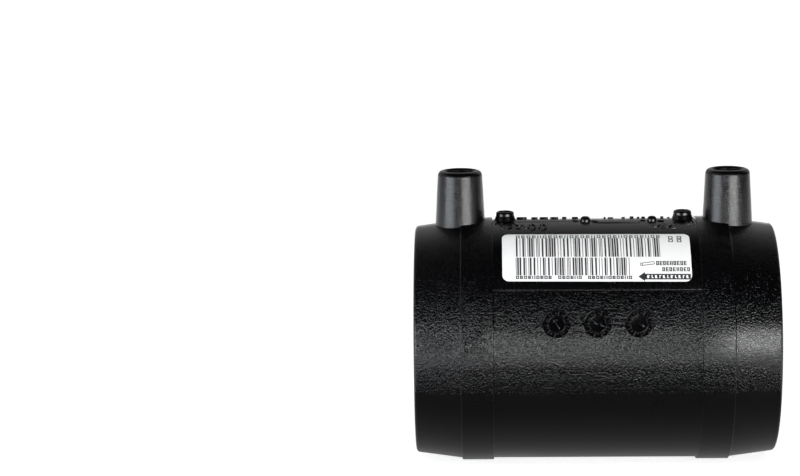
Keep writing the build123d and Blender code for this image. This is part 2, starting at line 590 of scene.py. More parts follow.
class Paint:
    """One material under construction, around a Principled shader."""

    def __init__(self, name: str) -> None:
        """Start a material with its shader and output."""
        self.material = bpy.data.materials.new(name)
        self.material.use_nodes = True
        self.nodes = self.material.node_tree.nodes
        self.links = self.material.node_tree.links
        self.shader = self.nodes["Principled BSDF"]

    def group(self, tree: bpy.types.ShaderNodeTree, **values: float) -> Node:
        """Place a shader group with its own values."""
        node = self.nodes.new("ShaderNodeGroup")
        node.node_tree = tree
        for label, value in values.items():
            node.inputs[label].default_value = value
        return node

    def mix(self, mask: bpy.types.NodeSocket, low: Colour, high: Colour) -> bpy.types.NodeSocket:
        """Mix two colours by a mask, and return the mixed colour."""
        node = self.nodes.new("ShaderNodeMix")
        node.data_type = "RGBA"
        self.links.new(mask, node.inputs["Factor"])
        node.inputs["A"].default_value = (*low, 1.0)
        node.inputs["B"].default_value = (*high, 1.0)
        return node.outputs["Result"]

    def ramp(self, value: bpy.types.NodeSocket, low: float, high: float) -> bpy.types.NodeSocket:
        """Map a value from 0 to 1 to between two numbers."""
        node = self.nodes.new("ShaderNodeMapRange")
        self.links.new(value, node.inputs["Value"])
        node.inputs["To Min"].default_value = low
        node.inputs["To Max"].default_value = high
        return node.outputs["Result"]

    def bump(
        self, height: bpy.types.NodeSocket, depth: float, below: Node | None = None
    ) -> Node:
        """Add a Bump node of a depth in millimetres, on top of another where one is given."""
        node = self.nodes.new("ShaderNodeBump")
        node.inputs["Distance"].default_value = depth * MM
        self.links.new(height, node.inputs["Height"])
        if below is not None:
            self.links.new(below.outputs["Normal"], node.inputs["Normal"])
        self.links.new(node.outputs["Normal"], self.shader.inputs["Normal"])
        return node

    def set(self, socket: str, value: float) -> None:
        """Set a constant on the shader's own socket."""
        self.shader.inputs[socket].default_value = value

    def feed(self, socket: str, value: bpy.types.NodeSocket) -> None:
        """Join a varying value to one of the shader's sockets."""
        self.links.new(value, self.shader.inputs[socket])


# Finishes


@dataclass(frozen=True)
class MouldedPlastic:
    """Black polyethylene as it leaves the mould, grained or smooth."""

    name: str
    colour: Colour
    rubbed: Colour
    roughness: float
    grain_depth: float
    grain_scale: float = 2600.0
    grain_coarse: float = 0.5
    pit_roughness: float = 0.12
    grain_floor: float = -1000.0
    rub: float = 0.18
    rib_pitch: float = 0.0
    rib_depth: float = 0.0

    def material(self, effects: Effects) -> bpy.types.Material:
        """Build the material."""
        paint = Paint(self.name)
        grain = paint.group(
            effects.grain,
            Scale=self.grain_scale,
            Coarse=self.grain_coarse,
            Floor=self.grain_floor * MM,
        )
        marks = paint.group(effects.handling)
        paint.feed("Base Color", paint.mix(marks.outputs["Dust"], self.colour, self.rubbed))
        rough = paint.ramp(grain.outputs["Pits"], self.roughness, self.roughness + self.pit_roughness)
        varied = paint.nodes.new("ShaderNodeMath")
        varied.operation = "MULTIPLY_ADD"
        paint.links.new(marks.outputs["Rub"], varied.inputs[0])
        varied.inputs[1].default_value = self.rub
        paint.links.new(rough, varied.inputs[2])
        paint.feed("Roughness", varied.outputs[0])
        below = None
        if self.rib_pitch:
            lay = paint.group(effects.lay, Scale=2 * pi / (self.rib_pitch * MM), Waver=0.0)
            below = paint.bump(lay.outputs["Height"], self.rib_depth)
        paint.bump(grain.outputs["Height"], self.grain_depth, below)
        paint.set("IOR", 1.49)
        return paint.material


@dataclass(frozen=True)
class BareMetal:
    """Drawn wire or turned pin, with fine tool lines and a slight tarnish."""

    name: str
    bright: Colour
    tarnished: Colour
    roughness: float
    line_pitch: float
    line_depth: float

    def material(self, effects: Effects) -> bpy.types.Material:
        """Build the material."""
        paint = Paint(self.name)
        marks = paint.group(effects.handling, Amount=1.0)
        lay = paint.group(effects.lay, Scale=2 * pi / (self.line_pitch * MM), Waver=0.35)
        cloud = paint.ramp(marks.outputs["Rub"], 0.5, 2.2)
        paint.feed("Base Color", paint.mix(cloud, self.bright, self.tarnished))
        paint.feed("Roughness", paint.ramp(lay.outputs["Height"], self.roughness, self.roughness + 0.14))
        paint.set("Metallic", 1.0)
        paint.bump(lay.outputs["Height"], self.line_depth)
        return paint.material


@dataclass(frozen=True)
class LabelFilm:
    """White printed film with a faint mottle."""

    name: str
    colour: Colour
    shaded: Colour
    roughness: float

    def material(self, effects: Effects) -> bpy.types.Material:
        """Build the material."""
        paint = Paint(self.name)
        grain = paint.group(effects.grain, Scale=1400.0, Coarse=0.8)
        marks = paint.group(effects.handling)
        paint.feed("Base Color", paint.mix(marks.outputs["Dust"], self.colour, self.shaded))
        paint.feed("Roughness", paint.ramp(grain.outputs["Height"], self.roughness, self.roughness + 0.15))
        paint.bump(grain.outputs["Height"], 0.004)
        return paint.material


@dataclass(frozen=True)
class PrintInk:
    """Thermal print on the label film, a little uneven."""

    name: str
    colour: Colour
    worn: Colour
    roughness: float = 0.45

    def material(self, effects: Effects) -> bpy.types.Material:
        """Build the material."""
        paint = Paint(self.name)
        grain = paint.group(effects.grain, Scale=3800.0, Coarse=0.6)
        paint.feed("Base Color", paint.mix(grain.outputs["Pits"], self.colour, self.worn))
        paint.feed("Roughness", paint.ramp(grain.outputs["Height"], self.roughness, self.roughness + 0.2))
        return paint.material


class Finishes:
    """Every material of the coupler, built once."""

    def __init__(self) -> None:
        """Build the shader groups and the materials."""
        effects = Effects()
        black = (0.0009, 0.0009, 0.0012)
        dust = (0.03, 0.03, 0.032)
        self.grained = MouldedPlastic(
            "grained_polyethylene", black, dust, 0.09, 0.068, 2500.0, 0.3, 0.21, grain_floor=-10.8
        ).material(effects)
        self.smooth = MouldedPlastic(
            "smooth_polyethylene", black, dust, 0.23, 0.012, 900.0, 1.2
        ).material(effects)
        self.glossy = MouldedPlastic(
            "glossy_polyethylene", black, dust, 0.2, 0.026, 3100.0, 0.5, 0.05
        ).material(effects)
        self.polished = MouldedPlastic(
            "polished_polyethylene", black, dust, 0.14, 0.006, 900.0, 1.0, 0.04
        ).material(effects)
        self.winding_bed = MouldedPlastic(
            "winding_bed_polyethylene", black, dust, 0.36, 0.02, 1500.0, 0.8,
            rib_pitch=0.7, rib_depth=0.12,
        ).material(effects)
        self.indicator = MouldedPlastic(
            "indicator_polyethylene", (0.006, 0.006, 0.007), dust, 0.3, 0.02, 1500.0
        ).material(effects)
        self.wire = BareMetal(
            "copper_alloy_wire", (0.62, 0.26, 0.13), (0.32, 0.11, 0.06), 0.26, 0.31, 0.006
        ).material(effects)
        self.brass = BareMetal(
            "turned_brass", (0.83, 0.62, 0.28), (0.55, 0.36, 0.14), 0.2, 0.16, 0.004
        ).material(effects)
        self.film = LabelFilm(
            "label_film", (0.88, 0.88, 0.875), (0.8, 0.8, 0.79), 0.36
        ).material(effects)
        self.ink = PrintInk("label_print", (0.012, 0.012, 0.014), (0.05, 0.05, 0.055)).material(
            effects
        )


# The coupler's pieces


@dataclass(frozen=True)
class Barrel:
    """The moulded barrel with its collars, tapered ends, bore and pipe stops."""

    bore_radius: float = 31.75
    half_length: float = 60.1
    mouth_chamfer: float = 1.2
    mouth_chamfer_length: float = 2.6
    radius: float = 40.35
    end_radius: float = 38.25
    rim_radius: float = 1.25
    collar_radius: float = 41.0
    collar_start: float = 34.0
    collar_end: float = 44.6
    groove_radius: float = 32.85
    groove_start: float = 17.75
    groove_end: float = 47.95
    channel_width: float = 1.3
    channel_start: float = 18.55
    channel_first_angle: float = 90.0
    stop_count: int = 4
    stop_first_angle: float = 45.0
    stop_width: float = 2.4
    stop_span: float = 6.0
    stop_height: float = 2.6
    steps: int = 288

    def outline(self) -> list[Corner]:
        """Corners of the right half of the wall, from the middle of the bore to the outside."""
        return [
            Corner(self.groove_start, self.bore_radius, 0.15),
            Corner(self.groove_start, self.groove_radius, 0.15),
            Corner(self.groove_end, self.groove_radius, 0.15),
            Corner(self.groove_end, self.bore_radius, 0.2),
            Corner(self.half_length - self.mouth_chamfer_length, self.bore_radius, 1.2),
            Corner(self.half_length, self.bore_radius + self.mouth_chamfer, 0.7),
            Corner(self.half_length, self.end_radius, self.rim_radius),
            Corner(self.collar_end, self.radius, 0.35),
            Corner(self.collar_end, self.collar_radius, 0.28),
            Corner(self.collar_start, self.collar_radius, 0.28),
            Corner(self.collar_start, self.radius, 0.25),
        ]

    def build(self, finishes: Finishes) -> list[Piece]:
        """Build the barrel and the pipe stops."""
        right = self.outline()
        left = [Corner(-c.along, c.out, c.radius) for c in reversed(right)]
        outline = round_corners(right + left, closed=True, steps=6)
        rows = turned_about_bore(outline, self.steps)
        shape = Shape()
        shape.grid(rows, ring_rows=True, ring_columns=True)
        low, high = self.groove_start + 0.1, self.groove_end - 0.1
        deep = self.groove_radius - 0.05
        bed = []
        for face in shape.faces:
            places = [shape.points[i] for i in face]
            flat = all(low < abs(p.x) < high for p in places)
            inner = all(deep < Vector((p.y, p.z)).length < deep + 0.1 for p in places)
            bed.append(1 if flat and inner else 0)
        for index, (face, inner) in enumerate(zip(shape.faces, bed)):
            reach = max(Vector(shape.points[i].yz).length for i in face)
            shape.finishes[index] = 1 if inner else (2 if reach < self.radius - 6 else 0)
        barrel = shape.make(
            "moulded_barrel",
            (finishes.grained, finishes.winding_bed, finishes.smooth),
            ("coupler_body",),
        )
        self.cut_channel(barrel)
        return [barrel, self.pipe_stops(finishes)]

    def cut_channel(self, barrel: Piece) -> None:
        """Cut the channel that takes the wire from one winding to the other."""
        steps = 72
        low = self.bore_radius - 0.4
        half = self.channel_width / 2
        rows = []
        for step in range(steps + 1):
            share = step / steps
            x = -self.channel_start + 2 * self.channel_start * share
            angle = self.channel_first_angle + 180 * share
            corners = ((-half, low), (half, low), (half, self.groove_radius), (-half, self.groove_radius))
            rows.append([around_bore(x + u, angle, r) for u, r in corners])
        shape = Shape()
        shape.grid(rows, ring_columns=True)
        shape.cap(rows[0])
        shape.cap(rows[-1])
        cut_away(barrel, shape)

    def pipe_stops(self, finishes: Finishes) -> Piece:
        """Build the four stops that the pipe ends meet at mid-length."""
        work = bmesh.new()
        for index in range(self.stop_count):
            angle = self.stop_first_angle + 360 / self.stop_count * index
            middle = around_bore(0, angle, self.bore_radius - self.stop_height / 2 + 0.5)
            size = Matrix.Diagonal((self.stop_width, self.stop_span, self.stop_height + 1, 1))
            turn = Matrix.Rotation(radians(angle), 4, "X")
            place = Matrix.Translation(middle * MM) @ turn @ size @ Matrix.Scale(MM, 4)
            made = bmesh.ops.create_cube(work, size=1.0, matrix=place)
            edges = {edge for vert in made["verts"] for edge in vert.link_edges}
            bmesh.ops.bevel(
                work, geom=list(edges), offset=0.45 * MM, segments=3, affect="EDGES", profile=0.5
            )
        mesh = bpy.data.meshes.new("pipe_stops")
        work.to_mesh(mesh)
        work.free()
        mesh.polygons.foreach_set("use_smooth", [True] * len(mesh.polygons))
        mesh.set_sharp_from_angle(angle=radians(40))
        mesh.materials.append(finishes.smooth)
        piece = bpy.data.objects.new("pipe_stops", mesh)
        bpy.context.scene.collection.objects.link(piece)
        return settle(piece, ("coupler_body",))


@dataclass(frozen=True)
class TerminalShroud:
    """The tapered shroud round a terminal pin."""

    x: float = 44.8
    top: float = 57.5
    foot: float = 37.4
    top_radius: float = 7.4
    draft: float = 3.0
    rim_radius: float = 1.7
    bore_radius: float = 4.9
    mouth_chamfer: float = 0.55
    depth: float = 13.0
    steps: int = 96

    def build(self, side: Side, finishes: Finishes) -> Piece:
        """Build the shroud of one side."""
        foot_radius = self.top_radius + (self.top - self.foot) * tan(radians(self.draft))
        mouth = self.bore_radius + self.mouth_chamfer
        outline = round_corners(
            [
                Corner(self.foot, foot_radius),
                Corner(self.top, self.top_radius, self.rim_radius),
                Corner(self.top, mouth, 0.25),
                Corner(self.top - self.mouth_chamfer, self.bore_radius, 0.4),
                Corner(self.top - self.depth, self.bore_radius, 0.5),
                Corner(self.top - self.depth, 0.01),
            ],
            steps=8,
        )
        shape = Shape()
        rows = turned_upright(side.value * self.x, outline, self.steps)
        shape.grid(rows, ring_columns=True)
        shape.cap(rows[0])
        shape.cap(rows[-1])
        name = f"terminal_shroud_{side.word}"
        return shape.make(name, (finishes.glossy,), ("coupler_body",), 40)


@dataclass(frozen=True)
class TerminalPin:
    """A terminal pin with a rounded tip, on its wide foot."""

    x: float = 44.8
    foot: float = 32.85
    foot_top: float = 44.8
    foot_radius: float = 2.8
    tip: float = 54.3
    radius: float = 2.0
    tip_radius: float = 0.7
    steps: int = 64

    def build(self, side: Side, finishes: Finishes) -> Piece:
        """Build the pin of one side."""
        outline = round_corners(
            [
                Corner(self.foot, 0.01),
                Corner(self.foot, self.foot_radius, 0.1),
                Corner(self.foot_top, self.foot_radius, 0.15),
                Corner(self.foot_top, self.radius, 0.15),
                Corner(self.tip, self.radius, self.tip_radius),
                Corner(self.tip, 0.01),
            ],
            steps=5,
        )
        shape = Shape()
        rows = turned_upright(side.value * self.x, outline, self.steps)
        shape.grid(rows, ring_columns=True)
        shape.cap(rows[0])
        shape.cap(rows[-1])
        name = f"brass_pin_{side.word}"
        return shape.make(name, (finishes.brass,), (f"terminal_pin_{side.word}",), 40)


@dataclass(frozen=True)
class IndicatorBoss:
    """The small tapered boss round a fusion indicator, and the indicator in its well."""

    x: float = 29.75
    top: float = 43.45
    foot: float = 39.5
    top_radius: float = 3.0
    draft: float = 3.0
    band: float = 1.35
    flare: float = 19.0
    rim_radius: float = 0.75
    well_radius: float = 2.0
    well_floor: float = 34.35
    indicator_radius: float = 1.9
    indicator_top: float = 42.25
    steps: int = 64

    def build(self, side: Side, finishes: Finishes) -> list[Piece]:
        """Build the boss and the indicator of one side."""
        x = side.value * self.x
        waist = self.top_radius + self.band * tan(radians(self.draft))
        foot_radius = waist + (self.top - self.band - self.foot) * tan(radians(self.flare))
        outline = round_corners(
            [
                Corner(self.foot - 0.9, foot_radius + 0.3),
                Corner(self.foot, foot_radius),
                Corner(self.top - self.band, waist, 0.5),
                Corner(self.top, self.top_radius, self.rim_radius),
                Corner(self.top, self.well_radius, 0.22),
                Corner(self.well_floor + 0.2, self.well_radius),
                Corner(self.well_floor + 0.2, 0.01),
            ],
            steps=6,
        )
        boss = Shape()
        rows = turned_upright(x, outline, self.steps)
        boss.grid(rows, ring_columns=True)
        boss.cap(rows[-1])
        pieces = [
            boss.make(
                f"indicator_boss_{side.word}",
                (finishes.smooth,),
                ("coupler_body",),
                40,
            )
        ]
        outline = round_corners(
            [
                Corner(self.well_floor + 0.2, 0.01),
                Corner(self.well_floor + 0.2, self.indicator_radius, 0.2),
                Corner(self.indicator_top, self.indicator_radius, 0.35),
                Corner(self.indicator_top, 0.7, 0.1),
                Corner(self.indicator_top - 0.25, 0.5, 0.1),
                Corner(self.indicator_top - 0.25, 0.01),
            ],
            steps=5,
        )
        core = Shape()
        rows = turned_upright(x, outline, self.steps)
        core.grid(rows, ring_columns=True)
        core.cap(rows[0])
        core.cap(rows[-1])
        pieces.append(
            core.make(
                f"melt_indicator_{side.word}",
                (finishes.indicator,),
                (f"fusion_indicator_{side.word}",),
                40,
            )
        )
        return pieces


@dataclass(frozen=True)
class LabelPanel:
    """The smooth panel between the collars, with raised marks near the crown."""

    half_width: float = 34.9
    radius: float = 40.65
    back_angle: float = 1.5
    front_angle: float = 56.2
    barrel_radius: float = 40.35

    def build(self, finishes: Finishes) -> list[Piece]:
        """Build the panel and its raised marks."""
        span = self.front_angle - self.back_angle
        wrap = Wrap(self.radius, 0.0, (self.front_angle + self.back_angle) / 2)
        plate = Plate(
            2 * self.half_width, radians(span) * self.radius, 0.0, edge=0.36, bottom=-0.9, lip=25.0
        )
        shape = Shape()
        plate.add_to(shape, wrap)
        panel = shape.make(
            "label_panel", (finishes.smooth,), ("coupler_body",)
        )
        return [panel, self.raised_marks(finishes)]

    def raised_marks(self, finishes: Finishes) -> Piece:
        """Build plain bars, rings and domes where the moulding carries raised marks."""
        shape = Shape()
        plate = Plate(14.6, 2.9, 0.22, 0.9, 0.14, -0.3)
        plate.add_to(shape, Wrap(self.radius, 8.1, 6.4))
        ridges = (
            (-31.6, 10.2, -29.6, 12.6, 0.5, 0.42),
            (-31.3, 14.4, -29.9, 15.6, 0.5, 0.35),
            (-29.2, 10.0, -27.4, 10.3, 0.5, 0.4),
            (-28.6, 12.2, -26.8, 14.2, 0.5, 0.42),
            (-28.9, 15.6, -27.6, 13.9, 0.45, 0.35),
            (-26.6, 10.8, -25.4, 11.2, 0.6, 0.4),
            (-26.2, 14.8, -24.2, 14.9, 0.45, 0.35),
            (-24.8, 12.4, -24.1, 10.4, 0.45, 0.35),
            (-23.5, 11.0, -23.1, 15.4, 0.5, 0.4),
            (19.2, 10.4, 19.9, 14.6, 0.5, 0.4),
            (20.6, 14.8, 21.8, 11.4, 0.5, 0.42),
            (22.2, 14.4, 23.0, 15.6, 0.5, 0.35),
            (22.6, 11.4, 23.6, 11.0, 0.5, 0.35),
            (24.2, 15.0, 25.6, 12.6, 0.5, 0.42),
            (25.4, 15.8, 26.9, 15.5, 0.45, 0.35),
            (26.9, 12.0, 27.4, 13.6, 0.45, 0.35),
            (-32.6, 5.4, -32.9, 9.4, 0.6, 0.4),
            (-30.6, 6.6, -31.2, 9.8, 0.6, 0.4),
            (-27.6, 6.0, -26.6, 8.8, 0.6, 0.4),
            (27.4, 6.2, 26.6, 9.4, 0.6, 0.4),
            (30.4, 6.8, 31.2, 11.6, 0.6, 0.4),
            (32.6, 5.2, 33.3, 10.8, 0.6, 0.4),
            (-5.6, 5.6, -6.9, 3.9, 0.9, 0.4),
            (-0.6, 5.6, 1.3, 7.2, 0.9, 0.45),
            (16.9, 5.4, 15.7, 4.0, 0.9, 0.4),
            (21.4, 5.6, 23.2, 6.6, 0.9, 0.45),
        )
        for values in ridges:
            Ridge(*values).add_to(shape, self.radius)
        for x, angle in ((-20.9, 13.2), (-17.3, 13.3)):
            for start in (20, 150, 265):
                self.add_ring(shape, Wrap(self.radius, x, angle), 1.42, 2.4, 0.5, 0.42, start, 88)
        for x, angle, radius, height in ((-2.9, 4.6, 1.65, 1.55), (19.4, 4.4, 1.5, 1.5)):
            outline = round_corners(
                [
                    Corner(radius + 0.25, -0.4),
                    Corner(radius + 0.1, 0.25, 0.3),
                    Corner(radius * 0.96, height, radius * 0.7),
                    Corner(0.01, height),
                ],
                steps=6,
            )
            rows = turned_on_barrel(Wrap(self.radius, x, angle), outline, 40)
            shape.grid(rows, ring_columns=True)
            shape.cap(rows[-1])
        crown = Wrap(self.barrel_radius)
        crown_bars = (
            (-24.1, 3.5, 3.4, 0.62),
            (-19.75, 2.2, 2.0, 0.55),
            (-16.6, 2.9, 1.6, 0.55),
            (-13.1, 2.7, 2.2, 0.55),
            (-9.7, 1.5, 1.8, 0.6),
            (-6.1, 2.1, 1.9, 0.55),
            (3.9, 0.7, 1.4, 0.45),
            (5.9, 1.9, 1.2, 0.35),
            (10.2, 1.1, 1.6, 0.4),
            (13.0, 1.3, 1.9, 0.6),
            (15.2, 0.9, 1.2, 0.45),
            (16.9, 1.3, 2.0, 0.5),
            (23.2, 1.1, 1.8, 0.55),
            (25.4, 0.9, 1.2, 0.3),
        )
        for x, width, length, height in crown_bars:
            plate = Plate(width, length, height, 0.35 * min(width, length), 0.2, -0.3)
            plate.add_to(shape, Wrap(crown.radius, x, -7.4))
        return shape.make(
            "raised_moulding_marks", (finishes.smooth,), ("coupler_body",), 40
        )

    @staticmethod
    def add_ring(
        shape: Shape,
        wrap: Wrap,
        half_width: float,
        half_length: float,
        line: float,
        height: float,
        start: float,
        span: float,
    ) -> None:
        """Add a part of a raised oval line.

        Args:
            shape: the piece that takes it.
            wrap: where its middle lies.
            half_width: half its size along the bore.
            half_length: half its size round the barrel.
            line: width of the line.
            height: height of the line.
            start: angle at which it starts, in degrees.
            span: angle that it covers.
        """
        section = round_corners(
            [
                Corner(0.0, -0.3),
                Corner(0.0, height, 0.12),
                Corner(line, height, 0.12),
                Corner(line, -0.3),
            ],
            steps=3,
        )
        rows = []
        for inset, level in section:
            turns = [radians(start + span * s / 14) for s in range(15)]
            rows.append(
                [
                    wrap.place((half_width - inset) * cos(t), (half_length - inset) * sin(t), level)
                    for t in turns
                ]
            )
        shape.grid(rows)
        shape.cap([row[0] for row in rows])
        shape.cap([row[-1] for row in rows])


@dataclass(frozen=True)
class DateDials:
    """Three flat moulded dials on the front, with plain ticks."""

    spacing: float = 13.4
    angle: float = 71.9
    radius: float = 4.6
    hub_radius: float = 2.7
    level: float = 39.95
    steps: int = 72

    def flat(self, x: float, u: float, v: float, height: float) -> Vector:
        """Point on a dial's flat face: u along the bore, v down, height outwards."""
        turn = radians(self.angle)
        out = self.level + height
        return Vector(
            (x + u, -out * sin(turn) - v * cos(turn), out * cos(turn) - v * sin(turn))
        )

    def build(self, finishes: Finishes) -> Piece:
        """Build the three dials as discs let into the barrel."""
        shape = Shape()
        for index in (-1, 0, 1):
            x = index * self.spacing
            outline = round_corners(
                [
                    Corner(self.radius + 0.14, -0.5),
                    Corner(self.radius + 0.14, 0.32, 0.08),
                    Corner(self.radius - 0.12, 0.32, 0.08),
                    Corner(self.radius - 0.2, 0.16, 0.05),
                    Corner(self.hub_radius + 0.22, 0.16, 0.05),
                    Corner(self.hub_radius + 0.14, 0.3, 0.06),
                    Corner(self.hub_radius - 0.08, 0.3, 0.06),
                    Corner(self.hub_radius - 0.16, 0.16, 0.05),
                    Corner(0.01, 0.16),
                ],
                steps=3,
            )
            rows = []
            for r, height in outline:
                turns = [2 * pi * s / self.steps for s in range(self.steps)]
                rows.append([self.flat(x, r * cos(t), r * sin(t), height) for t in turns])
            shape.grid(rows, ring_columns=True)
            shape.cap(rows[-1])
            self.add_ticks(shape, x, index)
        return shape.make(
            "date_dials", (finishes.polished,), ("coupler_body",), 40
        )

    def pockets(self) -> Shape:
        """Shape of the three round pockets that the barrel has for the dials."""
        shape = Shape()
        for index in (-1, 0, 1):
            rows = []
            for height in (-0.45, 2.0):
                row = []
                for step in range(self.steps):
                    t = 2 * pi * step / self.steps
                    reach = self.radius + 0.16
                    place = index * self.spacing
                    row.append(self.flat(place, reach * cos(t), reach * sin(t), height))
                rows.append(row)
            shape.grid(rows, ring_columns=True)
            shape.cap(rows[0])
            shape.cap(rows[1])
        return shape

    def add_ticks(self, shape: Shape, x: float, index: int) -> None:
        """Add the lines that divide one dial, and a pointer on the outer two."""
        for step in range(10):
            turn = radians(36 * step + 8 * index)
            self.add_bar(shape, x, turn, self.hub_radius + 0.1, self.radius - 0.1, 0.16, 0.34)
            away = Vector((cos(turn + 0.31), sin(turn + 0.31))) * 3.35
            self.add_stroke(shape, x, away, turn + 0.9 + 0.5 * (step % 3), 0.62, 0.2, 0.32)
        if index:
            turn = radians(-118 if index < 0 else 35)
            self.add_bar(shape, x, turn, -1.9, 1.9, 0.24, 0.36)
            for lean in (-0.6, 0.6):
                tip = Vector((cos(turn), sin(turn))) * 1.9
                self.add_stroke(shape, x, tip, turn + pi + lean, 1.2, 0.2, 0.34)
        else:
            for offset in (-1.45, -0.75, 0.65, 1.35):
                start = Vector((offset - 0.3, -0.7 + 0.35 * offset))
                self.add_stroke(shape, x, start, radians(58), 1.5, 0.26, 0.36)

    def add_bar(
        self,
        shape: Shape,
        x: float,
        turn: float,
        start: float,
        end: float,
        width: float,
        height: float,
    ) -> None:
        """Add a raised bar along a spoke of a dial, from a start to an end radius."""
        away = Vector((cos(turn), sin(turn)))
        self.add_stroke(shape, x, away * start, turn, end - start, width, height)

    def add_stroke(
        self,
        shape: Shape,
        x: float,
        start: Vector,
        turn: float,
        length: float,
        width: float,
        height: float,
    ) -> None:
        """Add a raised stroke with sloping sides to a dial's face.

        Args:
            shape: the piece that takes it.
            x: the dial's place along the bore.
            start: where the stroke starts on the face.
            turn: its direction in radians.
            length: its length.
            width: its width at the top.
            height: its height above the recessed face.
        """
        away = Vector((cos(turn), sin(turn)))
        across = Vector((-away.y, away.x))
        rows = []
        for grow, level in ((0.09, 0.0), (0.02, height - 0.03), (-0.03, height)):
            corners = (
                start - away * grow - across * (width / 2 + grow),
                start + away * (length + grow) - across * (width / 2 + grow),
                start + away * (length + grow) + across * (width / 2 + grow),
                start - away * grow + across * (width / 2 + grow),
            )
            rows.append([self.flat(x, c.x, c.y, level) for c in corners])
        shape.grid(rows, ring_columns=True)
        shape.cap(rows[-1])


@dataclass(frozen=True)
class HeatingWire:
    """The wire's two windings and the crossing between them, as one round wire."""

    radius: float = 32.4
    wire_radius: float = 0.43
    end: float = 44.8
    pitch: float = 4.2
    zone_turns: float = 6.25
    crossing_turns: float = 0.5
    steps_per_turn: int = 72
    sides: int = 10

    @property
    def inner(self) -> float:
        """Where each winding ends, nearer the middle."""
        return self.end - self.pitch * self.zone_turns

    @property
    def turns(self) -> float:
        """Turns from one terminal to the other."""
        return 2 * self.zone_turns + self.crossing_turns

    def place(self, turn: float) -> float:
        """Place of the wire along the bore after some turns from the left terminal."""
        if turn <= self.zone_turns:
            return -self.end + self.pitch * turn
        if turn < self.zone_turns + self.crossing_turns:
            return -self.inner + 2 * self.inner * (turn - self.zone_turns) / self.crossing_turns
        return self.end - self.pitch * (self.turns - turn)

    def build(self, finishes: Finishes) -> Piece:
        """Build the wire."""
        count = round(self.turns * self.steps_per_turn)
        rows = []
        for step in range(count + 1):
            turn = self.turns * step / count
            near = 0.5 / self.steps_per_turn
            before = around_bore(self.place(turn - near), 360 * (turn - near), self.radius)
            after = around_bore(self.place(turn + near), 360 * (turn + near), self.radius)
            middle = around_bore(self.place(turn), 360 * turn, self.radius)
            along = (after - before).normalized()
            out = Vector((0, middle.y, middle.z)).normalized()
            across = along.cross(out).normalized()
            ring = []
            for s in range(self.sides):
                a = 2 * pi * s / self.sides
                ring.append(middle + (out * cos(a) + across * sin(a)) * self.wire_radius)
            rows.append(ring)
        shape = Shape()
        shape.grid(rows, ring_columns=True)
        shape.cap(rows[0])
        shape.cap(rows[-1])
        return shape.make("winding_wire", (finishes.wire,), ("heating_wire",), 60)


